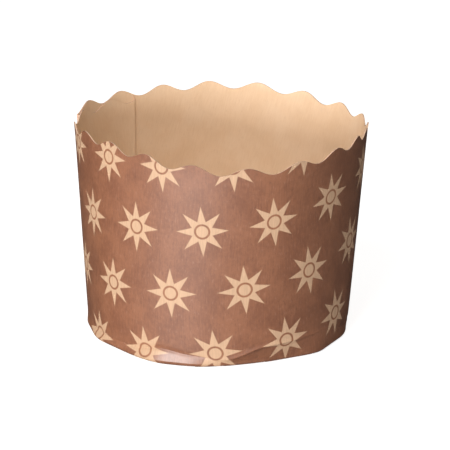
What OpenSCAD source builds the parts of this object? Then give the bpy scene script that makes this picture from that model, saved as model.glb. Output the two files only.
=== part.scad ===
// Paper baking cup with a wavy rim: one printed strip rolled into a tube, lapped and glued,
// its lower margin turned in with pleats, and a paper disc glued on that margin inside.
// Directions round the cup are in degrees, clockwise from the back (+Y), seen from above.

/* [Cup] */
// Height from the table to the crests of the rim
cup_h = 50; // [35:0.5:80]
// Outer diameter at the rim
rim_d = 70; // [66:0.2:95]
// Outer diameter at the foot
foot_d = 62.6; // [58:0.2:85]
// Thickness of the side paper
paper_t = 0.3; // [0.2:0.01:0.4]

/* [Wavy rim] */
// Length of one wave along the rim
wave_len = 11.36; // [5:0.02:24]
// Depth of the waves, from crest to valley
wave_h = 1.9; // [0.5:0.1:4]
// Turn at which the first crest falls
wave_at = -66; // [-80:1:-50]

/* [Lap seam] */
// Width of the overlap
lap_w = 22.5; // [5:0.5:30]
// Direction of the outer end of the strip
lap_at = -78; // [-90:1:-60]
// How far the inner end of the strip slipped down when it was glued
lap_slip = 1.4; // [0:0.1:2]

/* [Set of the soft rim] */
// How far the rim is drawn out to an oval, each way
oval = 0.4; // [0:0.1:3]
// Direction in which the oval is long
oval_at = 2; // [0:1:180]
// How far the rim bows out in three broad lobes
bow = 1.4; // [0:0.1:3]
// Direction of the first lobe
bow_at = 40; // [0:1:120]
// How far the rim leans over to one side
lean = 0.9; // [0:0.1:3]
// Direction of the lean
lean_at = 101; // [0:1:360]
// How far the rim rises on one side and dips on the other
tilt = 0.6; // [0:0.1:2]
// Direction in which the rim is highest
tilt_at = -27; // [-180:1:180]
// How far the rim rises and dips in two broad swings
swing = 0.6; // [0:0.1:2]
// Direction of the first swing's top
swing_at = 128; // [0:1:180]
// How far the rim rises and dips in three broad swings
ripple = 0.8; // [0:0.1:2]
// How far the rim rises and dips in four swings
flutter = 0.3; // [0:0.1:1]
// Direction of the first of those four
flutter_at = 28; // [0:1:90]

/* [Foot] */
// Width of the margin turned in under the disc
margin_w = 9; // [6:0.5:14]
// Outer radius of the fold at the table
fold_r = 1; // [0.9:0.1:1.4]
// Height of the step where one pleat lies over the next
pleat_step = 0.25; // [0.1:0.05:0.35]
// Width of the slope that ends at each step, in degrees
pleat_ramp = 7; // [3:1:9]

/* [Base disc] */
// Thickness of the disc
disc_t = 0.45; // [0.3:0.05:1]
// Clearance between the disc's edge and the fold
disc_gap = 0.6; // [0.2:0.1:3]

/* [Hidden] */

// Corners of the folded foot: direction, how far out of round, height of the crease above
corners = [[20, -0.3, 3], [52, -0.5, 4], [84, 0.2, 2], [107, 0.6, 3], [132, 0.8, 5.5],
           [158, -1.0, 5], [177, 0, 1.8], [189, 1.2, 2.5], [205, 2, 3.4], [216, 1.3, 2.2],
           [241, 1.4, 2], [262, 0.6, 3], [292, -0.3, 4], [322, -0.2, 3], [350, -0.3, 3.5]];
// Longest step between two sections of the wall, and half the gap at a fold or cut edge
turn_step = 2.7;
edge_gap = 0.1;
// Heights of the wall's rows as shares of the rim's height
wall_rows = [0.2, 0.35, 0.5, 0.65, 0.8, 0.91];
// Angles of the rows round the fold
fold_rows = [30, 60, 90];
// Turn over which a layer eases back in line beside the lap
ease = 8;
// Direction from which the strip starts to slip down, and the turn it takes
slip_from = 232;
slip_turn = 50;
// Power by which the rim's set grows up the wall
set_power = 1.6;
// The strip was drawn round unevenly, which shifts the waves by up to these angles
creep_once = 5.2;
creep_once_at = 24;
creep_twice = 1.9;
// Gap between the two layers at the rim, and how deep it shows
layer_gap = 0.04;
layer_dip = 0.1;

rim_r = rim_d / 2;
foot_r = foot_d / 2;
slope = (rim_r - foot_r) / cup_h;
margin_t = 2 * paper_t;
lap_turn = lap_w / (PI * rim_d) * 360;
wave_turn = wave_len / (PI * rim_d) * 360;

function wrap(a) = a - 360 * floor(a / 360);

// Set of the rim at direction a, outward and upward
function set_out(a) = lean * cos(a - lean_at) + oval * cos(2 * (a - oval_at))
    + bow * cos(3 * (a - bow_at));
function set_up(a) = tilt * cos(a - tilt_at) + swing * cos(2 * (a - swing_at))
    + ripple * cos(3 * a) + flutter * cos(4 * (a - flutter_at));

// Outer radius of the tapered tube with its set
function tube_r(a, z) =
    foot_r + slope * z + set_out(a) * pow(max(z, 0) / cup_h, set_power);

// Height of the wavy edge at direction a, which runs on past a full turn on the inner layer
function along(a) = a - creep_once * cos(a - creep_once_at) - creep_twice * sin(2 * a);
function slip(a) = let (k = min(1, max(0, (a - slip_from) / slip_turn)))
    lap_slip * (1 - cos(180 * k)) / 2;
function edge_z(a) = cup_h + set_up(a) - slip(a)
    - wave_h * (1 - cos(360 * (along(a) - wave_at) / wave_turn)) / 2;

// Turn from the outer end of the strip, and the edge's height on each layer
function turn(a) = wrap(a - lap_at);
function lapped(a) = turn(a) < lap_turn;
function outer_z(a) = edge_z(lap_at + turn(a));
function inner_z(a) = edge_z(lap_at + turn(a) + (lapped(a) ? 360 : 0));

// Shift of the outer and inner faces where the two layers of the lap part and meet
function part_shift(u) =
    u < lap_turn + ease ? paper_t / 2 * (1 - (u - lap_turn) / ease) :
    u > 360 - ease ? -paper_t / 2 * (u - 360 + ease) / ease : 0;
function outer_shift(a) = lapped(a) ? paper_t / 2 : part_shift(turn(a));
function inner_shift(a) = lapped(a) ? -paper_t / 2 : part_shift(turn(a));

// Corner i of the foot, counted on past a full turn, and the corner before direction a
function corner(i) = let (c = corners[i % len(corners)])
    [c[0] + 360 * floor(i / len(corners)), foot_r + c[1], c[2]];
function turned(a) = wrap(a - corner(0)[0]) + corner(0)[0];
function sector(a) = max([for (i = [0 : len(corners) - 1]) if (corner(i)[0] <= turned(a)) i]);

// Radius of the straight fold between two corners, at direction a
function facet_r(a) = let (b = turned(a), p = corner(sector(a)), q = corner(sector(a) + 1))
    p[1] * q[1] * sin(q[0] - p[0]) / (p[1] * sin(b - p[0]) + q[1] * sin(q[0] - b));
// Height of the crease above the fold, and of the pleats' steps under the margin
function crease_z(a) = let (b = turned(a), p = corner(sector(a)), q = corner(sector(a) + 1))
    p[2] + (q[2] - p[2]) * (1 - cos(180 * (b - p[0]) / (q[0] - p[0]))) / 2;
function pleat_z(a) =
    pleat_step * max(0, 1 - (turned(a) - corner(sector(a))[0]) / pleat_ramp);

// Section of the wall at direction a: under the margin, round the fold, up the outside,
// over the edge and back down the inside
function section(a) =
    let (fr = facet_r(a), so = outer_shift(a), si = inner_shift(a) - paper_t,
         sm = (so + si) / 2, zc = crease_z(a), top = cup_h + set_up(a),
         zo = outer_z(a), zi = inner_z(a), zm = min(zo, zi) - (lapped(a) ? layer_dip : 0))
    concat(
        [[foot_r - margin_w, pleat_z(a)], [fr - fold_r, pleat_z(a)]],
        [for (f = fold_rows) [fr + so - fold_r * (1 - sin(f)), fold_r * (1 - cos(f))]],
        [[tube_r(a, zc) + so, zc]],
        [for (k = wall_rows) [tube_r(a, k * top) + so, k * top]],
        [[tube_r(a, zo) + so, zo], [tube_r(a, zo) + sm + layer_gap, zo],
         [tube_r(a, zm) + sm, zm],
         [tube_r(a, zi) + sm - layer_gap, zi], [tube_r(a, zi) + si, zi]],
        [for (i = [len(wall_rows) - 1 : -1 : 0]) let (z = wall_rows[i] * top)
            [tube_r(a, z) + si, z]],
        [[tube_r(a, zc) + si, zc]],
        [for (i = [len(fold_rows) - 1 : -1 : 0]) let (f = fold_rows[i])
            [fr + si + paper_t - fold_r + (fold_r - paper_t) * sin(f),
             fold_r - (fold_r - margin_t) * cos(f)]],
        [[fr - fold_r, margin_t], [foot_r - margin_w, margin_t]]);

// Directions of the sections, two close together at each fold or cut edge
function sorted(v) = len(v) < 2 ? v : let (m = v[0], w = [for (i = [1 : len(v) - 1]) v[i]])
    concat(sorted([for (x = w) if (x < m) x]), [m], sorted([for (x = w) if (x >= m) x]));
breaks = sorted(concat([for (c = corners) wrap(c[0])],
                       [wrap(lap_at), wrap(lap_at + lap_turn)]));
turns = [for (i = [0 : len(breaks) - 1])
    let (from = breaks[i] + edge_gap,
         to = (i < len(breaks) - 1 ? breaks[i + 1] : breaks[0] + 360) - edge_gap,
         n = max(1, ceil((to - from) / turn_step)))
    for (k = [0 : n]) wrap(from + (to - from) * k / n)];

// The disc fits inside the fold at its narrowest
disc_r = min([for (a = turns) facet_r(a)]) - fold_r - disc_gap;

// The frame's origin lies under the middle of the overall box
rings = [for (a = turns) [for (p = section(a)) [p[0] * sin(a), p[0] * cos(a), p[1]]]];
function middle(v) = (min(v) + max(v)) / 2;
centre = [middle([for (r = rings) for (p = r) p[0]]),
          middle([for (r = rings) for (p = r) p[1]]), 0];

// Closed skin over rings of points, each ring joined to the next and the last to the first
module ring_skin(rings) {
    n = len(rings);
    m = len(rings[0]);
    polyhedron(
        points = [for (r = rings) each r],
        faces = [for (i = [0 : n - 1]) for (j = [0 : m - 1])
            let (a = i * m + j, b = i * m + (j + 1) % m,
                 c = ((i + 1) % n) * m + (j + 1) % m, d = ((i + 1) % n) * m + j)
            each [[a, c, b], [a, d, c]]],
        convexity = 8);
}

module side_wall() {
    color("#8c6350")
        translate(-centre)
            ring_skin(rings);
}

module base_disc() {
    color("#dcb48a")
        translate([0, 0, margin_t] - centre)
            cylinder(r = disc_r, h = disc_t, $fn = 96);
}

side_wall();
base_disc();
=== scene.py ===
"""Paper baking cup: a printed strip with a wavy rim, pleated in at the foot, and a plain disc.

Lengths are in millimetres until a mesh is made. Directions are in degrees, clockwise from the
back (+Y), seen from above."""

import math

import bpy
import numpy as np
from bpy.props import (
    FloatProperty,
    FloatVectorProperty,
    PointerProperty,
)
from mathutils import Matrix, Vector


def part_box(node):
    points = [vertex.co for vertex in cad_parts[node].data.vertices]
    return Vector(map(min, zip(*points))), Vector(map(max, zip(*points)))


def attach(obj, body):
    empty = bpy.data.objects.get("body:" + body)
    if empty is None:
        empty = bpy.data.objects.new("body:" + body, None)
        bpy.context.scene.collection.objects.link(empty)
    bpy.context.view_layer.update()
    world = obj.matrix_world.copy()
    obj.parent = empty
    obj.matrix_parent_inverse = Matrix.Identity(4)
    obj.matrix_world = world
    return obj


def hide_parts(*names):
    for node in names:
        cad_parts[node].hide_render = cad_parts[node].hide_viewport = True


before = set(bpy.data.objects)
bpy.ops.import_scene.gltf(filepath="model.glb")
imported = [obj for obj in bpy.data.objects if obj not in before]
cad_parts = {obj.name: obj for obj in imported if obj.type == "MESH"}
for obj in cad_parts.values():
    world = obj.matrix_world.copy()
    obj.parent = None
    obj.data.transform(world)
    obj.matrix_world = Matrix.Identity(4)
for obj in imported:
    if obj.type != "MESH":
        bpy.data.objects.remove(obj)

bl_info = {
    "name": "Paper baking cup",
    "version": (1, 0, 0),
    "blender": (4, 5, 0),
    "location": "View3D > Sidebar > Baking cup",
    "description": "Builds a printed paper baking cup with a wavy rim, its base disc and its stage",
    "category": "Add Mesh",
}

MM = 0.001

# Corners of the folded foot: direction, how far out of round, height of the crease above, and
# how far the paper stands out (or is pinched in) along that crease
CORNERS = (
    (20, -0.3, 3, 0.0),
    (52, -0.5, 4, 0.0),
    (84, 0.2, 2, -0.1),
    (107, 0.6, 3, -0.15),
    (132, 0.8, 5.5, 0.1),
    (158, -1.0, 5, 0.25),
    (177, 0, 1.8, 0.1),
    (189, 1.2, 2.5, -0.1),
    (205, 2, 3.4, -0.2),
    (216, 1.3, 2.2, -0.1),
    (241, 1.4, 2, 0.0),
    (262, 0.6, 3, 0.0),
    (292, -0.3, 4, 0.0),
    (322, -0.2, 3, 0.0),
    (350, -0.3, 3.5, 0.0),
)
# Turns over which those corners are rounded off
ROUNDING = (-4, -2.4, -0.8, 0.8, 2.4, 4)
# Spread of a crease above and below its line, and the share of it that shows inside
CREASE_ABOVE, CREASE_BELOW, CREASE_INSIDE = 0.55, 0.3, 0.6
# Step of a pleat, the turn of the slope that ends at it, and how far its loose end rises
PLEAT_STEP, PLEAT_TURN, PLEAT_RISE = 0.25, 7, 0.05
# Angle round the fold at which the pleats' steps have run out, and the least radius inside it
PLEAT_ANGLE, LEAST_FOLD = 45, 0.1

# Set of the soft rim outward: its lean, oval and three lobes, each with its direction
LEAN, LEAN_AT = 0.9, 101
OVAL, OVAL_AT = 0.4, 2
BOW, BOW_AT = 1.4, 40
# Set of the soft rim upward: its tilt, and two, three and four swings
TILT, TILT_AT = 0.6, -27
SWING, SWING_AT = 0.6, 128
RIPPLE = 0.8
FLUTTER, FLUTTER_AT = 0.3, 28
# One place where the rim stands out and up a little more, and how wide it spreads
SWELL_AT, SWELL_SPREAD, SWELL_OUT, SWELL_UP = 62, 20, 0.9, 0.3
# Power by which the set grows up the wall
SET_POWER = 1.6
# Dents round the tube: how many, where they start, how they drift up the wall, and their depth
DENTS = ((5, 40, 60, 0.10), (9, 200, -90, 0.07), (14, 0, 100, 0.05))
# How far the crests curl outward, the share by which the valleys do less, how far below the
# crests it starts, and the most that it grows where the rim stands higher
CURL_OUT, CURL_LESS, CURL_FROM, CURL_MOST = 0.12, 0.75, 4.5, 1.3

# The strip was drawn round unevenly, which shifts the waves by up to these angles
CREEP_ONCE, CREEP_ONCE_AT, CREEP_TWICE = 5.2, 24, 1.9
# Directions of the first crest and of the strip's outer end
WAVE_AT, LAP_AT = -66, -78
# Turn over which a layer eases back in line beside the lap
EASE = 8
# Direction from which the strip slips down towards its inner end, and the turn that it takes
SLIP_FROM, SLIP_TURN = 232, 50
# Turn over which the outer end stands off, and how far it does: from the foot up, where it
# takes this height to part, and more towards the rim, from this height over that many mm
LOOSE_TURN, LOOSE_ALL, LOOSE_FOOT = 9, 0.05, 8
LOOSE_RIM, LOOSE_FROM, LOOSE_OVER = 0.32, 30, 20
# Half the gap between the two cut edges at the lap, and how deep the gap shows
EDGE_GAP, LAP_DIP = 0.05, 1.6

# Steps of the wall's mesh: longest turn, and half the turn left open at a corner or a cut end
TURN_STEP, TURN_GAP = 0.75, 0.05
# Its rows: shares of the margin, angles round the fold, shares of the band up to the crease,
# heights above the crease, steps on to where the rim starts, and shares from there to the edge
MARGIN_ROWS = 9
FOLD_ANGLES = (12, 24, 36, 48, 60, 70, 80, 90)
BAND_ROWS = (0.15, 0.32, 0.5, 0.66, 0.79, 0.88, 0.94, 0.98)
CREASE_ROWS = (0, 0.1, 0.22, 0.4, 0.65, 1.0, 1.5, 2.2)
WALL_ROWS, RIM_FROM = 26, 0.86
RIM_ROWS = (0.14, 0.28, 0.42, 0.55, 0.67, 0.78, 0.87, 0.94, 0.985)
# The same on the inside, which is plainer
INSIDE_BAND_ROWS = (0.9, 0.66, 0.32)
INSIDE_FOLD_ANGLES = (90, 65, 40, 15, 0)
# Order of the wall's materials
PRINTED, CUT, PLAIN = 0, 1, 2

# Sides of the disc, the rise of its middle, the height of its ripple, and its rings as shares of
# its radius
DISC_SIDES, DISC_RISE, DISC_RIPPLE = 144, 0.35, 0.04
DISC_RINGS = (0.15, 0.3, 0.45, 0.6, 0.7, 0.8, 0.9, 0.97)
# The disc's softened edge: how far in its face ends, and how far in and up its bevel does
DISC_EDGE, DISC_BEVEL, DISC_BEVEL_UP = 0.08, 0.02, 0.05

# The print's repeat on the flat sheet: one star's centre, the step along a row and the step up
# to the next row, which is set half a step along
STAR_AT = (-4.43, 33.38)
ROW_STEP = (16.262, 1.792)
UP_STEP = (-1.984, 14.703)
# Where the print crept as the sheet was formed, across and up: the whole sheet, with the sine of
# the direction from the front, and with height, for each so many mm
PRINT_CREEP = ((-0.81, 0.25), (0.56, -0.39), (-0.18, -0.08))
PRINT_RISE = 50
# Soft areas that crept by themselves: direction, height, their spreads, across and up
PRINT_AREAS = (
    (130, 40, 32, 24, 2.84, -1.83),
    (208, 12, 45, 16, 1.34, 0.41),
    (100, 44, 32, 16, -1.05, -0.65),
)
# Millimetres of the flat sheet in one unit of its UV map
SHEET_UNIT = 100

# Fibres that show through the ink and on plain paper, light and dark
INK_LIGHT, INK_DARK = (0.52, 0.30, 0.22, 1), (0.10, 0.035, 0.02, 1)
PAPER_LIGHT, PAPER_DARK = (0.90, 0.72, 0.55, 1), (0.50, 0.30, 0.17, 1)
# Satin of the ink: roughness of its surface, and the coat's roughness and index
INK_ROUGH, BARE_ROUGH = (0.36, 0.50), 0.55
COAT_ROUGH, COAT_IOR = 0.42, 2.2

# Brightness of the room and the floor in reflections
DIM = 0.04
# Height at which the lamps aim, in metres
AIM = 0.025
# Half the floor's width, how far it lies under the cup, in metres, and its glow as background
FLOOR_HALF, FLOOR_DROP, FLOOR_GLOW = 3.0, 0.00005, 0.78
# Camera at the photograph's view: distance, pitch and roll in radians, and focal length in px
CAMERA_AWAY, CAMERA_PITCH, CAMERA_ROLL, FOCAL = 455.0, 0.3088, 0.0230, 1903.31
# The picture's side in px, and where the cup's axis shows in it at this height
PICTURE = 450
AXIS_AT, AXIS_HEIGHT = (219.9155, 221.0593), 25.01
# Width of the camera's sensor
SENSOR = 36


class CupSizes(bpy.types.PropertyGroup):
    cup_height: FloatProperty(
        name="Height", description="From the table to the crests of the rim",
        default=0.050, unit="LENGTH",
    )
    rim_diameter: FloatProperty(
        name="Rim", description="Outer diameter at the rim", default=0.070, unit="LENGTH"
    )
    foot_diameter: FloatProperty(
        name="Foot", description="Outer diameter at the foot", default=0.0626, unit="LENGTH"
    )
    paper_thickness: FloatProperty(
        name="Paper", description="Thickness of the side paper", default=0.0003, unit="LENGTH"
    )
    wave_length: FloatProperty(
        name="Wave length", description="Length of one wave along the rim",
        default=0.01136, unit="LENGTH",
    )
    wave_depth: FloatProperty(
        name="Wave depth", description="Depth of the waves, crest to valley",
        default=0.0019, unit="LENGTH",
    )
    lap_width: FloatProperty(
        name="Lap", description="Width of the overlap at the seam", default=0.0225, unit="LENGTH"
    )
    lap_slip: FloatProperty(
        name="Slip", description="How far the strip's inner end slipped down",
        default=0.0014, unit="LENGTH",
    )
    margin_width: FloatProperty(
        name="Margin", description="Width of the pleated margin under the disc",
        default=0.009, unit="LENGTH",
    )
    fold_radius: FloatProperty(
        name="Fold", description="Outer radius of the fold at the table",
        default=0.001, unit="LENGTH",
    )
    disc_thickness: FloatProperty(
        name="Disc", description="Thickness of the base disc", default=0.00045, unit="LENGTH"
    )


class CupColours(bpy.types.PropertyGroup):
    ink: FloatVectorProperty(
        name="Ink", description="Brown of the printed outside", size=3, subtype="COLOR",
        default=(0.335, 0.129, 0.058), min=0, max=1,
    )
    ink_deep: FloatVectorProperty(
        name="Deep ink", description="Darker brown where the ink lies thick", size=3,
        subtype="COLOR", default=(0.25, 0.090, 0.040), min=0, max=1,
    )
    bare_star: FloatVectorProperty(
        name="Bare paper", description="Unprinted paper in the stars", size=3, subtype="COLOR",
        default=(0.63, 0.405, 0.25), min=0, max=1,
    )
    inside: FloatVectorProperty(
        name="Inside", description="Plain paper inside the cup", size=3, subtype="COLOR",
        default=(0.90, 0.665, 0.45), min=0, max=1,
    )
    cut_edge: FloatVectorProperty(
        name="Cut edge", description="Fibres along the cut edges", size=3, subtype="COLOR",
        default=(0.66, 0.43, 0.32), min=0, max=1,
    )


class CupStage(bpy.types.PropertyGroup):
    key_power: FloatProperty(
        name="Key lamp", description="Power of the soft key lamp", default=4.2, unit="POWER"
    )
    fill_power: FloatProperty(
        name="Fill lamp", description="Power of the fill lamp on the right",
        default=1.35, unit="POWER",
    )
    low_power: FloatProperty(
        name="Low lamp", description="Power of the low lamp that brings out the sheen",
        default=3.8, unit="POWER",
    )
    side_power: FloatProperty(
        name="Side lamp", description="Power of the low lamp further to the left",
        default=2.2, unit="POWER",
    )
    ambient: FloatProperty(
        name="Ambient", description="Light from all round", default=0.23, min=0, max=2
    )
    floor_colour: FloatVectorProperty(
        name="Floor", description="Plain pale floor", size=3, subtype="COLOR",
        default=(0.8, 0.8, 0.8), min=0, max=1,
    )


# Shape of the cup


def sin(a):
    return np.sin(np.radians(a))


def cos(a):
    return np.cos(np.radians(a))


def smooth(x):
    x = np.clip(x, 0, 1)
    return x * x * (3 - 2 * x)


def print_creep(strip, height):
    """Shift of the print, across and up, at these directions and heights."""
    shifts = []
    for way in (0, 1):
        whole, with_direction, with_height = (part[way] for part in PRINT_CREEP)
        shift = whole + with_direction * sin(strip - 180) + with_height * height / PRINT_RISE
        for at, up, wide, high, *move in PRINT_AREAS:
            near = ((strip - at) / wide) ** 2 + ((height - up) / high) ** 2
            shift = shift + move[way] * np.exp(-near)
        shifts.append(shift)
    return shifts


class CupShape:
    """The cup's sheet, from the same named values as the part's source."""

    def __init__(self, sizes):
        self.height = sizes.cup_height / MM
        self.rim_r = sizes.rim_diameter / MM / 2
        self.foot_r = sizes.foot_diameter / MM / 2
        self.paper = sizes.paper_thickness / MM
        self.depth = sizes.wave_depth / MM
        self.slip = sizes.lap_slip / MM
        self.margin = sizes.margin_width / MM
        self.fold = sizes.fold_radius / MM
        self.slope = (self.rim_r - self.foot_r) / self.height
        # the flat sheet is part of a ring, with this sine of the taper and this radius at the foot
        self.taper = self.slope / math.sqrt(1 + self.slope**2)
        self.foot_y = self.foot_r / self.taper
        round_rim = 2 * math.pi * self.rim_r
        self.lap_turn = sizes.lap_width / MM / round_rim * 360
        self.wave_turn = sizes.wave_length / MM / round_rim * 360

    def set_out(self, a):
        out = LEAN * cos(a - LEAN_AT) + OVAL * cos(2 * (a - OVAL_AT)) + BOW * cos(3 * (a - BOW_AT))
        return out + SWELL_OUT * self.swell(a)

    def set_up(self, a):
        up = TILT * cos(a - TILT_AT) + SWING * cos(2 * (a - SWING_AT)) + RIPPLE * cos(3 * a)
        return up + FLUTTER * cos(4 * (a - FLUTTER_AT)) + SWELL_UP * self.swell(a)

    def swell(self, a):
        return np.exp(-(((a - SWELL_AT) / SWELL_SPREAD) ** 2))

    def wave(self, a):
        """0 on a crest and 1 in a valley."""
        along = a - CREEP_ONCE * cos(a - CREEP_ONCE_AT) - CREEP_TWICE * sin(2 * a)
        return (1 - np.cos(2 * math.pi * (along - WAVE_AT) / self.wave_turn)) / 2

    def edge_z(self, a):
        """Height of the wavy edge; a runs on past a full turn on the inner layer."""
        slip = self.slip * (1 - cos(180 * np.clip((a - SLIP_FROM) / SLIP_TURN, 0, 1))) / 2
        return self.height + self.set_up(a) - slip - self.depth * self.wave(a)

    def tube_r(self, a, z):
        """Outer radius of the tube, with its set, faint dents and crests curling outward."""
        up = np.clip(z, 0, None) / self.height
        dents = sum(deep * sin(n * a + start + drift * up) for n, start, drift, deep in DENTS)
        near_rim = np.clip((z - self.height + CURL_FROM) / CURL_FROM, 0, CURL_MOST)
        curl = CURL_OUT * (1 - CURL_LESS * self.wave(a)) * near_rim**2
        # the dents grow from none at the foot and get shallower towards the rim
        return (
            self.foot_r
            + self.slope * z
            + self.set_out(a) * up**SET_POWER
            + dents * smooth(up * 2.5) * (1 - 0.5 * up)
            + curl
        )

    def corners(self, a):
        """Directions a counted from the first corner, and the corners before and after them."""
        start = CORNERS[0][0]
        turned = np.mod(a - start, 360) + start
        at = np.array([c[0] for c in CORNERS] + [start + 360], float)
        i = np.searchsorted(at, turned, side="right") - 1
        i = np.clip(i, 0, len(CORNERS) - 1)
        c = np.array(CORNERS + (CORNERS[0],), float)
        return turned, at[i], at[i + 1], c[i], c[i + 1]

    def facet_r(self, a):
        """Radius of the fold: straight between corners, which are rounded off a little."""
        return sum(self.straight_r(a + d) for d in ROUNDING) / len(ROUNDING)

    def straight_r(self, a):
        b, p0, q0, p, q = self.corners(a)
        p1, q1 = self.foot_r + p[:, 1], self.foot_r + q[:, 1]
        return p1 * q1 * sin(q0 - p0) / (p1 * sin(b - p0) + q1 * sin(q0 - b))

    def crease(self, a):
        """Height of the crease, and how far the paper stands out there, eased past the corners."""
        eased = [self.crease_between(a + d) for d in ROUNDING]
        return sum(e[0] for e in eased) / len(eased), sum(e[1] for e in eased) / len(eased)

    def crease_between(self, a):
        b, p0, q0, p, q = self.corners(a)
        t = (1 - cos(180 * (b - p0) / (q0 - p0))) / 2
        return p[:, 2] + (q[:, 2] - p[:, 2]) * t, p[:, 3] + (q[:, 3] - p[:, 3]) * t

    def sheet(self, length, strip):
        """Print coordinates at this length up the strip and this direction along it."""
        rho = (self.foot_r + self.slope * length) / self.taper
        phi = np.radians(180 - strip) * self.taper
        across, up = print_creep(strip, length)
        return rho * np.sin(phi) + across, rho * np.cos(phi) - self.foot_y + up

    def directions(self, step, gap):
        """Turns from the strip's outer end, with two close together at each corner and edge."""
        breaks = sorted([(c[0] - LAP_AT) % 360 for c in CORNERS] + [0.0, self.lap_turn])
        turns = []
        for i, b in enumerate(breaks):
            start = b + gap
            stop = (breaks[i + 1] if i + 1 < len(breaks) else 360) - gap
            n = max(1, math.ceil((stop - start) / step))
            turns += [start + (stop - start) * k / n for k in range(n + 1)]
        return np.array(turns)


class WallRows:
    """Rows of the wall's closed skin: radius, height, print coordinates and material above.

    Each has a value for every direction. They run under the margin from its inner edge, round
    the fold, up the outside, over the edge and back down the inside."""

    def __init__(self, shape, turn):
        self.shape = shape
        self.rows = []
        self.a = LAP_AT + turn
        self.lapped = turn < shape.lap_turn
        self.strip_in = np.where(self.lapped, self.a + 360, self.a)
        self.strip = self.a
        self.place_layers(turn)
        self.edge_out, self.edge_in = shape.edge_z(self.a), shape.edge_z(self.strip_in)
        self.place_foot()
        self.under_margin()
        self.round_fold()
        self.up_outside()
        self.over_edge()
        self.down_inside()
        self.over_margin()

    def place_layers(self, turn):
        """Shifts of the outer and inner face: each layer of the lap is half a thickness off."""
        t = self.shape.paper
        past_lap = t / 2 * (1 - (turn - self.shape.lap_turn) / EASE)
        before_lap = -t / 2 * (turn - 360 + EASE) / EASE
        beside = np.where(turn > 360 - EASE, before_lap, 0)
        beside = np.where(turn < self.shape.lap_turn + EASE, past_lap, beside)
        self.outer = np.where(self.lapped, t / 2, beside)
        self.inner = np.where(self.lapped, -t / 2, beside) - t
        self.mid = (self.outer + self.inner) / 2
        self.loose = smooth((LOOSE_TURN - turn) / LOOSE_TURN)

    def place_foot(self):
        """The fold, the crease above it and the lengths of paper between them and the margin."""
        shape = self.shape
        self.fold_r = shape.facet_r(self.a)
        self.crease_z, self.lip = shape.crease(self.a)
        self.crease_r = shape.tube_r(self.a, self.crease_z)
        self.band = np.hypot(self.fold_r - self.crease_r, self.crease_z - shape.fold)
        self.fold_length = self.crease_z - self.band
        self.under_length = self.fold_length - shape.fold * math.pi / 2
        turned, start, stop, _, _ = shape.corners(self.a)
        self.off_middle = turned - (start + stop) / 2
        self.pleat = PLEAT_STEP * np.clip(1 - (turned - start) / PLEAT_TURN, 0, None)
        self.rim_from = RIM_FROM * (shape.height + shape.set_up(self.a))
        first = self.crease_z + CREASE_ROWS[-1]
        steps = np.linspace(0, 1, WALL_ROWS + 1)[1:]
        self.heights = [self.crease_z + up for up in CREASE_ROWS]
        self.heights += [first + (self.rim_from - first) * k for k in steps]

    def add(self, r, z, length, material):
        x, y = self.shape.sheet(length, self.strip)
        self.rows.append([r + 0 * self.a, z + 0 * self.a, x, y, material])

    def lift(self, z):
        """How far the strip's loose outer end stands off at height z."""
        near_rim = smooth((z - LOOSE_FROM) / LOOSE_OVER)
        return self.loose * (LOOSE_ALL * smooth(z / LOOSE_FOOT) + LOOSE_RIM * near_rim)

    def crease_out(self, z):
        spread = np.where(z > self.crease_z, CREASE_ABOVE, CREASE_BELOW)
        return self.lip * np.exp(-(((z - self.crease_z) / spread) ** 2))

    def band_at(self, share):
        """Height and radius on the flat band between the fold and the crease."""
        z = self.shape.fold + (self.crease_z - self.shape.fold) * share
        return z, self.fold_r + (self.crease_r - self.fold_r) * share

    def rim_heights(self, edge):
        return [self.rim_from + (edge - self.rim_from) * k for k in RIM_ROWS]

    def under_margin(self):
        """Each pleat lies flat on the table, so its print isn't squeezed."""
        shape, off = self.shape, self.off_middle
        inner_r, outer_r = shape.foot_r - shape.margin, self.fold_r - shape.fold
        way = np.radians(180 - (self.a - off)) * shape.taper
        rho = (shape.foot_r + shape.slope * self.under_length) / shape.taper
        crept = print_creep(self.a, 0)
        for k in np.linspace(0, 1, MARGIN_ROWS):
            r = inner_r * (1 - k) + (outer_r + self.outer) * k
            z = self.pleat + PLEAT_RISE * (1 - k) ** 2
            across, down = -r * sin(off), outer_r * cos(off) - r * cos(off)
            x = (rho - down) * np.sin(way) + across * np.cos(way)
            y = (rho - down) * np.cos(way) - across * np.sin(way) - shape.foot_y
            self.rows.append([r, z, x + crept[0], y + crept[1], PRINTED])

    def round_fold(self):
        fold = self.shape.fold
        for angle in FOLD_ANGLES:
            f = math.radians(angle)
            r = self.fold_r + self.outer - fold * (1 - math.sin(f))
            z = fold * (1 - math.cos(f)) + self.pleat * max(0, 1 - angle / PLEAT_ANGLE)
            self.add(r, z, self.under_length + fold * f, PRINTED)

    def up_outside(self):
        for k in BAND_ROWS:
            z, r = self.band_at(k)
            r = r + self.crease_out(z) + self.outer
            self.add(r, z, self.fold_length + self.band * k, PRINTED)
        for z in self.heights:
            r = self.shape.tube_r(self.a, z) + self.crease_out(z)
            self.add(r + self.outer + self.lift(z), z, z, PRINTED)
        for z in self.rim_heights(self.edge_out):
            self.add(self.shape.tube_r(self.a, z) + self.outer + self.lift(z), z, z, PRINTED)

    def over_edge(self):
        """The outer layer's cut, the gap of the lap and the inner layer's cut."""
        tube, a, z = self.shape.tube_r, self.a, self.edge_out
        r = tube(a, z) + self.outer + self.lift(z)
        across = np.where(self.lapped, -self.shape.paper, self.mid - self.outer)
        self.add(r, z, z, CUT)
        self.add(r + across + EDGE_GAP, z, z, PLAIN)
        low = np.minimum(z, self.edge_in) - np.where(self.lapped, LAP_DIP, 0)
        self.add(tube(a, low) + self.mid + self.lift(low) / 2, low, low, PLAIN)
        self.strip = self.strip_in
        z = self.edge_in
        self.add(tube(a, z) + self.mid - EDGE_GAP, z, z, CUT)

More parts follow.
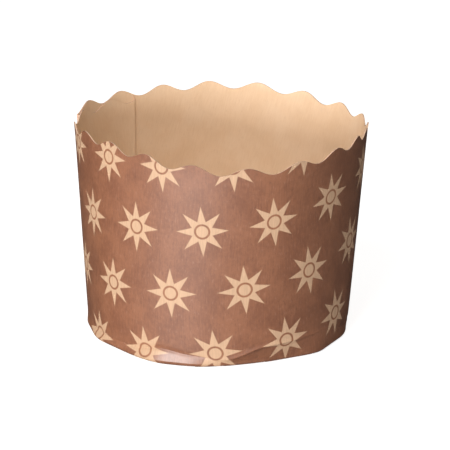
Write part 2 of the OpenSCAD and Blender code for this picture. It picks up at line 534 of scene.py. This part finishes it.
    def down_inside(self):
        tube, a, inner = self.shape.tube_r, self.a, self.inner
        self.first_inside = len(self.rows)
        for z in [self.edge_in] + self.rim_heights(self.edge_in)[::-1]:
            self.add(tube(a, z) + inner, z, z, PLAIN)
        for z in self.heights[::-2]:
            self.add(tube(a, z) + self.crease_out(z) * CREASE_INSIDE + inner, z, z, PLAIN)
        for k in INSIDE_BAND_ROWS:
            z, r = self.band_at(k)
            self.add(r + inner, z, self.fold_length + self.band * k, PLAIN)

    def over_margin(self):
        """Round the inside of the fold and in over the margin, whose pleats are two layers."""
        shape = self.shape
        fold, top = shape.fold, 2 * shape.paper
        inner_r, outer_r = shape.foot_r - shape.margin, self.fold_r - shape.fold
        inside = max(fold - shape.paper, LEAST_FOLD)
        for angle in INSIDE_FOLD_ANGLES:
            f = math.radians(angle)
            r = self.fold_r + self.inner + shape.paper - fold + inside * math.sin(f)
            z = fold + (top - fold) * math.cos(f)
            self.add(r, z, self.under_length + fold * f, PLAIN)
        for k, material in ((0.5, PLAIN), (0, CUT)):
            r = inner_r * (1 - k) + outer_r * k
            self.add(r, top, self.under_length - (outer_r - r), material)


def new_piece(name, verts, faces, flat, materials, sharp, kinds=None):
    """A mesh piece from millimetres, with its place on the flat sheet as a UV map."""
    mesh = bpy.data.meshes.new(name)
    mesh.from_pydata((verts * MM).tolist(), [], faces)
    for m in materials:
        mesh.materials.append(m)
    if kinds is not None:
        mesh.polygons.foreach_set("material_index", np.asarray(kinds, np.int32))
    at = np.zeros(len(mesh.loops), np.int32)
    mesh.loops.foreach_get("vertex_index", at)
    layer = mesh.uv_layers.new(name="Sheet")
    layer.data.foreach_set("uv", (flat / SHEET_UNIT)[at].astype(np.float32).ravel())
    mesh.polygons.foreach_set("use_smooth", np.ones(len(faces), bool))
    mesh.set_sharp_from_angle(angle=math.radians(sharp))
    mesh.validate()
    mesh.update()
    piece = bpy.data.objects.new(name, mesh)
    bpy.context.scene.collection.objects.link(piece)
    return piece


def build_wall(sizes, materials):
    """The printed wall, and where the middle of its box lies off the cup's axis."""
    shape = CupShape(sizes)
    turn = shape.directions(TURN_STEP, TURN_GAP)
    skin = WallRows(shape, turn)
    a = LAP_AT + turn
    n, m = len(turn), len(skin.rows)
    r, z, x, y = (np.array([row[i] for row in skin.rows]) for i in range(4))
    verts = np.stack([r * sin(a), r * cos(a), z], -1).transpose(1, 0, 2).reshape(-1, 3)
    flat = np.stack([x, y], -1).transpose(1, 0, 2).reshape(-1, 2)
    i, j = np.meshgrid(np.arange(n), np.arange(m), indexing="ij")
    i2, j2 = (i + 1) % n, (j + 1) % m
    faces = np.stack([i * m + j, i2 * m + j, i2 * m + j2, i * m + j2], -1).reshape(-1, 4)
    kinds = np.repeat([[row[4] for row in skin.rows]], n, 0)
    # the strip's two cut ends: the outer one stands outside, the inner one inside
    inner_end = int(np.searchsorted(turn, shape.lap_turn)) - 1
    kinds[n - 1, : skin.first_inside] = CUT
    kinds[inner_end, skin.first_inside + 1 :] = CUT
    low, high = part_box("side_wall")
    centre = [(verts[:, k].min() + verts[:, k].max()) / 2 for k in (0, 1)]
    verts[:, 0] += (low.x + high.x) / 2 / MM - centre[0]
    verts[:, 1] += (low.y + high.y) / 2 / MM - centre[1]
    wall = new_piece("printed_wall", verts, faces.tolist(), flat, materials, 32, kinds.ravel())
    return wall, centre


def disc_profile(radius, t):
    """Rings of the disc's skin, radius and height, from the middle below to the middle above."""
    rings = [(k * radius, 0) for k in DISC_RINGS]
    rings += [(radius - DISC_EDGE, 0), (radius - DISC_BEVEL, DISC_BEVEL_UP), (radius, t / 2)]
    rings += [(radius - DISC_BEVEL, t - DISC_BEVEL_UP), (radius - DISC_EDGE, t)]
    return rings + [(k * radius, t) for k in reversed(DISC_RINGS)]


def build_disc(sizes, material):
    """Card disc on the margin, its middle risen a little and its edge softened."""
    low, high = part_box("base_disc")
    radius = (high.x - low.x) / 2 / MM
    middle = np.array([(low.x + high.x) / 2, (low.y + high.y) / 2, low.z]) / MM
    t = sizes.disc_thickness / MM
    n = DISC_SIDES
    a = np.radians(np.arange(n) * 360 / n)
    ripple = np.sin(3 * a + 1) + np.sin(5 * a)
    rings = disc_profile(radius, t)
    points = [[0, 0, DISC_RISE]]
    for r, z in rings:
        rise = DISC_RISE * smooth(1 - r / (0.8 * radius))
        # only the upper face ripples, most of all at 0.6 of the radius
        wave = np.abs(DISC_RIPPLE * smooth(1 - abs(r / radius - 0.6) / 0.4) * ripple)
        heights = z + rise + (wave if z else 0 * a)
        points += np.stack([r * np.sin(a), r * np.cos(a), heights], -1).tolist()
    points.append([0, 0, t + DISC_RISE])
    points = np.array(points)

    def at(ring, k):
        return 1 + ring * n + k % n

    faces = [
        (at(i + 1, k), at(i + 1, k + 1), at(i, k + 1), at(i, k))
        for i in range(len(rings) - 1)
        for k in range(n)
    ]
    top, last = len(rings) - 1, len(points) - 1
    faces += [(at(0, k), at(0, k + 1), 0) for k in range(n)]
    faces += [(at(top, k + 1), at(top, k), last) for k in range(n)]
    return new_piece("plain_disc", points + middle, faces, points[:, :2], [material], 50)


# Finishes


class Nodes:
    """Short calls for adding linked shader nodes to a tree."""

    def __init__(self, tree):
        self.tree = tree
        self.at = 0

    def add(self, kind, **values):
        node = self.tree.nodes.new(kind)
        node.location = (180 * (self.at // 6) - 1400, 300 - 180 * (self.at % 6))
        self.at += 1
        for k, v in values.items():
            setattr(node, k, v)
        return node

    def put(self, socket, value):
        if isinstance(value, bpy.types.NodeSocket):
            self.tree.links.new(value, socket)
        elif value is not None:
            socket.default_value = value

    def math(self, op, a, b=None, c=None):
        node = self.add("ShaderNodeMath", operation=op)
        for socket, value in zip(node.inputs, (a, b, c)):
            self.put(socket, value)
        return node.outputs[0]

    def vector(self, op, a, b=None, scale=None):
        node = self.add("ShaderNodeVectorMath", operation=op)
        self.put(node.inputs[0], a)
        if b is not None:
            self.put(node.inputs[1], b)
        if scale is not None:
            self.put(node.inputs["Scale"], scale)
        return node.outputs["Value"] if op in ("DOT_PRODUCT", "LENGTH") else node.outputs[0]

    def join(self, x, y):
        node = self.add("ShaderNodeCombineXYZ")
        self.put(node.inputs[0], x)
        self.put(node.inputs[1], y)
        return node.outputs[0]

    def step(self, value, low, high, to_low=0.0, to_high=1.0, soft=True):
        kind = "SMOOTHSTEP" if soft else "LINEAR"
        node = self.add("ShaderNodeMapRange", interpolation_type=kind)
        for name, v in (
            ("Value", value),
            ("From Min", low),
            ("From Max", high),
            ("To Min", to_low),
            ("To Max", to_high),
        ):
            self.put(node.inputs[name], v)
        return node.outputs[0]

    def noise(self, vector, scale, detail=2.0, rough=0.5):
        node = self.add("ShaderNodeTexNoise", noise_dimensions="2D")
        self.put(node.inputs["Vector"], vector)
        self.put(node.inputs["Scale"], scale)
        node.inputs["Detail"].default_value = detail
        node.inputs["Roughness"].default_value = rough
        return node.outputs["Fac"]

    def mix(self, fac, a, b):
        node = self.add("ShaderNodeMix", data_type="RGBA")
        self.put(node.inputs[0], fac)
        self.put(node.inputs[6], a)
        self.put(node.inputs[7], b)
        return node.outputs[2]


def new_group(name, inputs, outputs):
    group = bpy.data.node_groups.new(name, "ShaderNodeTree")
    for label, default in inputs:
        kind = "NodeSocketVector" if default is None else "NodeSocketFloat"
        socket = group.interface.new_socket(label, in_out="INPUT", socket_type=kind)
        if default is not None:
            socket.default_value = default
    for label in outputs:
        group.interface.new_socket(label, in_out="OUTPUT", socket_type="NodeSocketFloat")
    n = Nodes(group)
    return group, n, n.add("NodeGroupInput").outputs, n.add("NodeGroupOutput").inputs


def paper_grain_group():
    """Fibres along the sheet, cloudy formation, mottling and streaks, from a vector in mm."""
    group, n, given, out = new_group(
        "Paper Grain",
        (("Vector", None), ("Fibre Width", 0.3), ("Fibre Length", 4.0), ("Cloud Size", 6.0)),
        ("Fibres", "Clouds", "Light Streaks", "Dark Streaks", "Mottle", "Relief"),
    )
    at = given["Vector"]
    across = n.math("DIVIDE", 1.0, given["Fibre Width"])
    along = n.math("DIVIDE", 1.0, given["Fibre Length"])
    fibres = n.noise(n.vector("MULTIPLY", at, n.join(across, along)), 1.0, 3.0, 0.55)
    n.put(out["Fibres"], fibres)
    cloud_scale = n.math("DIVIDE", 1.0, given["Cloud Size"])
    n.put(out["Clouds"], n.noise(at, cloud_scale, 3.0, 0.6))
    # short streaks along the fibres where a stretched noise peaks or dips
    streaks = n.noise(n.vector("MULTIPLY", at, (2.6, 0.75, 0.0)), 1.0, 2.0, 0.6)
    n.put(out["Light Streaks"], n.step(streaks, 0.60, 0.78))
    n.put(out["Dark Streaks"], n.step(streaks, 0.40, 0.24))
    n.put(out["Mottle"], n.noise(at, 1.1, 4.0, 0.7))
    fine = n.math("MULTIPLY", n.noise(at, 3.2, 2.0), 0.3)
    n.put(out["Relief"], n.math("MULTIPLY_ADD", fibres, 0.7, fine))
    return group


def star_print_group():
    """Masks of the stars and their rings on the sheet, from a vector in mm."""
    group, n, given, out = new_group(
        "Star Print",
        (
            ("Vector", None),
            ("Tip Radius", 5.9),
            ("Valley Radius", 2.45),
            ("Ring Radius", 1.58),
            ("Ring Width", 0.46),
            ("Turn", 6.0),
            ("Softness", 0.09),
        ),
        ("Stars", "Rings"),
    )
    ax, ay = ROW_STEP
    bx, by = UP_STEP
    area = ax * by - ay * bx
    local = n.vector("SUBTRACT", given["Vector"], (*STAR_AT, 0.0))
    p = n.vector("DOT_PRODUCT", local, (by / area, -bx / area, 0.0))
    q = n.vector("DOT_PRODUCT", local, (-ay / area, ax / area, 0.0))

    def nearest(shift_p, shift_q):
        """Offset in mm from the nearest star of one of the two interleaved sets."""
        dp = n.math("SUBTRACT", p, shift_p)
        dp = n.math("SUBTRACT", dp, n.math("ROUND", dp))
        dq = n.math("MULTIPLY", n.math("SUBTRACT", q, shift_q), 0.5)
        dq = n.math("MULTIPLY", n.math("SUBTRACT", dq, n.math("ROUND", dq)), 2.0)
        x = n.math("MULTIPLY_ADD", dp, ax, n.math("MULTIPLY", dq, bx))
        y = n.math("MULTIPLY_ADD", dp, ay, n.math("MULTIPLY", dq, by))
        offset = n.join(x, y)
        return offset, n.vector("LENGTH", offset)

    even, even_r = nearest(0.0, 0.0)
    odd, odd_r = nearest(0.5, 1.0)
    pick = n.add("ShaderNodeMix", data_type="VECTOR")
    n.put(pick.inputs[0], n.math("LESS_THAN", odd_r, even_r))
    n.put(pick.inputs[4], even)
    n.put(pick.inputs[5], odd)
    r = n.math("MINIMUM", even_r, odd_r)
    split = n.add("ShaderNodeSeparateXYZ")
    n.put(split.inputs[0], pick.outputs[1])

    # the offset folded into half of one ray, and its distance from that ray's side
    angle = n.math("ARCTAN2", split.outputs[1], split.outputs[0])
    angle = n.math("SUBTRACT", angle, n.math("RADIANS", given["Turn"]))
    eighth = n.math("DIVIDE", angle, math.pi / 4)
    fold = n.math("ABSOLUTE", n.math("SUBTRACT", eighth, n.math("ROUND", eighth)))
    fold = n.math("MULTIPLY", fold, math.pi / 4)
    x = n.math("MULTIPLY", r, n.math("COSINE", fold))
    y = n.math("MULTIPLY", r, n.math("SINE", fold))
    vx = n.math("MULTIPLY", given["Valley Radius"], math.cos(math.pi / 8))
    vy = n.math("MULTIPLY", given["Valley Radius"], math.sin(math.pi / 8))
    run = n.math("SUBTRACT", given["Tip Radius"], vx)
    long = n.math("SQRT", n.math("MULTIPLY_ADD", run, run, n.math("MULTIPLY", vy, vy)))
    past_tip = n.math("SUBTRACT", x, given["Tip Radius"])
    side = n.math("MULTIPLY_ADD", vy, past_tip, n.math("MULTIPLY", run, y))
    side = n.math("DIVIDE", side, long)
    soft = given["Softness"]
    n.put(out["Stars"], n.step(side, soft, n.math("MULTIPLY", soft, -1.0)))

    off = n.math("ABSOLUTE", n.math("SUBTRACT", r, given["Ring Radius"]))
    half = n.math("MULTIPLY", given["Ring Width"], 0.5)
    n.put(out["Rings"], n.step(off, n.math("ADD", half, soft), n.math("SUBTRACT", half, soft)))
    return group


def place_group(n, group, vector, **values):
    node = n.add("ShaderNodeGroup")
    node.node_tree = group
    n.put(node.inputs["Vector"], vector)
    for k, v in values.items():
        node.inputs[k.replace("_", " ")].default_value = v
    return node.outputs


def sheet_vector(n):
    """The flat sheet's coordinates in mm."""
    return n.vector("SCALE", n.add("ShaderNodeUVMap", uv_map="Sheet").outputs[0], scale=SHEET_UNIT)


def cleared_tree(owner):
    """Node tree of a new material or world, emptied."""
    owner.use_nodes = True
    owner.node_tree.nodes.clear()
    return Nodes(owner.node_tree)


def new_material(name):
    material = bpy.data.materials.new(name)
    n = cleared_tree(material)
    shader = n.add("ShaderNodeBsdfPrincipled")
    n.put(n.add("ShaderNodeOutputMaterial").inputs["Surface"], shader.outputs[0])
    return n, shader


def rgb(colour):
    return (*colour, 1.0)


def relief(n, shader, height, distance):
    """Bump of the paper's surface; its distance is in metres."""
    bump = n.add("ShaderNodeBump")
    bump.inputs["Strength"].default_value = 0.5
    bump.inputs["Distance"].default_value = distance
    n.put(bump.inputs["Height"], height)
    n.put(shader.inputs["Normal"], bump.outputs[0])


def streaked(n, colour, grain, light, light_share, dark, dark_share):
    """The colour with shares of the grain's light and dark streaks over it."""
    colour = n.mix(n.math("MULTIPLY", grain["Light Streaks"], light_share), colour, light)
    return n.mix(n.math("MULTIPLY", grain["Dark Streaks"], dark_share), colour, dark)


def printed_paper(colours, grain_group, star_group):
    """Brown ink on kraft paper with bare stars, satin where the ink lies."""
    n, shader = new_material("printed paper")
    at = sheet_vector(n)
    grain = place_group(n, grain_group, at, Fibre_Width=0.32, Fibre_Length=4.5, Cloud_Size=7.0)
    stars = place_group(n, star_group, at)
    thick = n.math("MULTIPLY_ADD", grain["Clouds"], 1.3, n.math("MULTIPLY", grain["Fibres"], 0.8))
    thick = n.math("MULTIPLY_ADD", grain["Mottle"], 1.0, thick)
    ink = n.mix(n.step(thick, 1.15, 1.95), rgb(colours.ink), rgb(colours.ink_deep))
    ink = streaked(n, ink, grain, INK_LIGHT, 0.26, INK_DARK, 0.34)
    bare_dark = rgb([c * 0.90 for c in colours.bare_star])
    bare = n.mix(n.step(grain["Fibres"], 0.3, 0.75), rgb(colours.bare_star), bare_dark)
    bare = n.mix(n.math("MULTIPLY", stars["Rings"], 0.93), bare, ink)
    n.put(shader.inputs["Base Color"], n.mix(stars["Stars"], ink, bare))
    rough = n.add("ShaderNodeMix", data_type="FLOAT")
    n.put(rough.inputs[0], stars["Stars"])
    n.put(rough.inputs[2], n.step(grain["Fibres"], 0.25, 0.8, *INK_ROUGH, soft=False))
    n.put(rough.inputs[3], BARE_ROUGH)
    n.put(shader.inputs["Roughness"], rough.outputs[0])
    shader.inputs["Specular IOR Level"].default_value = 0.2
    # half the coat on the bare stars
    n.put(shader.inputs["Coat Weight"], n.math("MULTIPLY_ADD", stars["Stars"], -0.5, 1.0))
    shader.inputs["Coat Roughness"].default_value = COAT_ROUGH
    shader.inputs["Coat IOR"].default_value = COAT_IOR
    relief(n, shader, grain["Relief"], 0.00006)


def plain_paper(name, base, grain_group, roughness, fibre):
    """Unprinted kraft paper: faint fibres, cloudy tone and soft streaks."""
    n, shader = new_material(name)
    at = sheet_vector(n)
    grain = place_group(n, grain_group, at, Fibre_Width=fibre, Fibre_Length=3.2, Cloud_Size=8.0)
    tone = n.math("MULTIPLY_ADD", grain["Clouds"], 1.0, n.math("MULTIPLY", grain["Fibres"], 0.6))
    darker = rgb([base[0] * 0.93, base[1] * 0.89, base[2] * 0.84])
    colour = n.mix(n.step(tone, 0.45, 1.15), rgb(base), darker)
    colour = streaked(n, colour, grain, PAPER_LIGHT, 0.10, PAPER_DARK, 0.10)
    n.put(shader.inputs["Base Color"], colour)
    rough = n.step(grain["Fibres"], 0.2, 0.8, roughness - 0.06, roughness + 0.06, soft=False)
    n.put(shader.inputs["Roughness"], rough)
    shader.inputs["Specular IOR Level"].default_value = 0.25
    relief(n, shader, grain["Relief"], 0.00007)


def finishes(context):
    """The cup's materials in the order of PRINTED, CUT and PLAIN, made once."""
    names = ("printed paper", "cut paper edge", "plain paper")
    if bpy.data.materials.get(names[0]) is None:
        colours = context.scene.cup_colours
        grain, stars = paper_grain_group(), star_print_group()
        printed_paper(colours, grain, stars)
        plain_paper(names[1], colours.cut_edge, grain, 0.8, 0.12)
        plain_paper(names[2], colours.inside, grain, 0.62, 0.35)
    return [bpy.data.materials[name] for name in names]


# Stage


def turned(u, v, angle):
    """Directions u and v, at right angles, turned by this angle in radians from u towards v."""
    c, s = math.cos(angle), math.sin(angle)
    return u * c + v * s, v * c - u * s


def camera_at(centre):
    """Camera at the photograph's view; centre is where the box's middle lies off the cup's axis."""
    ahead = np.array((0, math.cos(CAMERA_PITCH), -math.sin(CAMERA_PITCH)))
    place = np.array((0, 0, AXIS_HEIGHT)) - CAMERA_AWAY * ahead
    right = np.array((1.0, 0, 0))
    up = np.cross(right, ahead)
    yaw, pitch = (math.atan((px - PICTURE / 2) / FOCAL) for px in AXIS_AT)
    right, ahead = turned(right, ahead, yaw)
    ahead, up = turned(ahead, up, pitch)
    right, up = turned(right, up, CAMERA_ROLL)
    data = bpy.data.cameras.new("camera")
    data.sensor_width = SENSOR
    data.lens = FOCAL * SENSOR / PICTURE
    data.clip_start, data.clip_end = 0.01, 20
    camera = bpy.data.objects.new("camera", data)
    bpy.context.scene.collection.objects.link(camera)
    place[:2] -= centre
    turn = Matrix((right, up, -ahead)).transposed()
    camera.matrix_world = Matrix.Translation(Vector(place) * MM) @ turn.to_4x4()
    bpy.context.scene.camera = camera


def lamp(name, direction, elevation, distance, size, power, colour):
    """Soft lamp aimed at the cup, its distance and its size, wide by high, in metres."""
    data = bpy.data.lights.new(name, "AREA")
    data.shape, data.energy, data.color = "RECTANGLE", power, colour
    data.size, data.size_y = size
    piece = bpy.data.objects.new(name, data)
    piece.visible_camera = False
    bpy.context.scene.collection.objects.link(piece)
    d, e = math.radians(direction), math.radians(elevation)
    way = Vector((math.sin(d) * math.cos(e), math.cos(d) * math.cos(e), math.sin(e)))
    piece.location = way * distance + Vector((0, 0, AIM))
    piece.rotation_mode = "QUATERNION"
    piece.rotation_quaternion = way.to_track_quat("Z", "Y")


def seen(n):
    """1 for rays that show the background, straight or through glass."""
    path = n.add("ShaderNodeLightPath").outputs
    return n.math("MAXIMUM", path["Is Camera Ray"], path["Is Transmission Ray"])


def white_world(ambient):
    """White as background, plain light all round, and a dim room in reflections."""
    world = bpy.data.worlds.new("studio")
    n = cleared_tree(world)
    light = n.add("ShaderNodeBackground")
    # the dim room keeps the satin ink from being veiled at the sides
    mirrored = n.add("ShaderNodeLightPath").outputs["Is Glossy Ray"]
    around = n.step(mirrored, 0.0, 1.0, ambient, DIM, soft=False)
    n.put(light.inputs["Strength"], n.step(seen(n), 0.0, 1.0, around, 1.0, soft=False))
    n.put(n.add("ShaderNodeOutputWorld").inputs["Surface"], light.outputs[0])
    bpy.context.scene.world = world


def pale_floor(colour):
    """Plain floor that keeps the cup's shadow, glows to white and is dim in reflections."""
    mesh = bpy.data.meshes.new("floor")
    s = FLOOR_HALF
    mesh.from_pydata([(-s, -s, 0), (s, -s, 0), (s, s, 0), (-s, s, 0)], [], [(0, 1, 2, 3)])
    floor = bpy.data.objects.new("floor", mesh)
    bpy.context.scene.collection.objects.link(floor)
    floor.location.z = -FLOOR_DROP
    material = bpy.data.materials.new("pale floor")
    n = cleared_tree(material)
    matt = n.add("ShaderNodeBsdfDiffuse")
    mirrored = n.add("ShaderNodeLightPath").outputs["Is Glossy Ray"]
    n.put(matt.inputs["Color"], n.mix(mirrored, rgb(colour), (DIM, DIM, DIM, 1)))
    glow = n.add("ShaderNodeEmission")
    n.put(glow.inputs["Strength"], n.math("MULTIPLY", seen(n), FLOOR_GLOW))
    both = n.add("ShaderNodeAddShader")
    n.put(both.inputs[0], matt.outputs[0])
    n.put(both.inputs[1], glow.outputs[0])
    n.put(n.add("ShaderNodeOutputMaterial").inputs["Surface"], both.outputs[0])
    mesh.materials.append(material)


# Operators and panel


class CUP_OT_wall(bpy.types.Operator):
    """Build the printed side wall with its wavy rim, lap and pleated foot"""

    bl_idname = "cup.wall"
    bl_label = "Printed wall"

    def execute(self, context):
        wall, centre = build_wall(context.scene.cup_sizes, finishes(context))
        context.scene["cup_centre"] = centre
        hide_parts("side_wall")
        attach(wall, "root")
        return {"FINISHED"}


class CUP_OT_disc(bpy.types.Operator):
    """Build the plain base disc that lies on the pleated margin"""

    bl_idname = "cup.disc"
    bl_label = "Base disc"

    def execute(self, context):
        disc = build_disc(context.scene.cup_sizes, finishes(context)[PLAIN])
        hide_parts("base_disc")
        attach(disc, "root")
        return {"FINISHED"}


class CUP_OT_stage(bpy.types.Operator):
    """Set up the pale floor, the soft lamps and the camera"""

    bl_idname = "cup.stage"
    bl_label = "Stage"

    def execute(self, context):
        stage = context.scene.cup_stage
        pale_floor(stage.floor_colour)
        white_world(stage.ambient)
        lamp("key lamp", 210, 40, 0.9, (0.45, 0.45), stage.key_power, (1.0, 0.99, 0.98))
        lamp("fill lamp", 135, 45, 0.9, (0.45, 0.45), stage.fill_power, (1.0, 0.92, 0.83))
        lamp("low lamp", 202, 3, 0.8, (0.30, 0.20), stage.low_power, (1.0, 0.98, 0.98))
        lamp("side lamp", 222, 3, 0.8, (0.30, 0.20), stage.side_power, (1.0, 0.98, 0.96))
        camera_at(context.scene["cup_centre"])
        context.scene.view_settings.view_transform = "Standard"
        return {"FINISHED"}


class CUP_PT_panel(bpy.types.Panel):
    bl_label = "Baking cup"
    bl_idname = "CUP_PT_panel"
    bl_space_type = "VIEW_3D"
    bl_region_type = "UI"
    bl_category = "Baking cup"

    def draw(self, context):
        for group, operators in (
            (context.scene.cup_sizes, ("cup.wall", "cup.disc")),
            (context.scene.cup_colours, ()),
            (context.scene.cup_stage, ("cup.stage",)),
        ):
            box = self.layout.box()
            for name in group.bl_rna.properties.keys():
                if name not in ("rna_type", "name"):
                    box.prop(group, name)
            for name in operators:
                box.operator(name)


CLASSES = (CupSizes, CupColours, CupStage, CUP_OT_wall, CUP_OT_disc, CUP_OT_stage, CUP_PT_panel)


def register():
    for c in CLASSES:
        bpy.utils.register_class(c)
    bpy.types.Scene.cup_sizes = PointerProperty(type=CupSizes)
    bpy.types.Scene.cup_colours = PointerProperty(type=CupColours)
    bpy.types.Scene.cup_stage = PointerProperty(type=CupStage)


def unregister():
    for name in ("cup_sizes", "cup_colours", "cup_stage"):
        delattr(bpy.types.Scene, name)
    for c in reversed(CLASSES):
        bpy.utils.unregister_class(c)


def main():
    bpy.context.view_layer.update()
    register()
    bpy.ops.cup.wall()
    bpy.ops.cup.disc()
    bpy.ops.cup.stage()


if __name__ == "__main__":
    main()
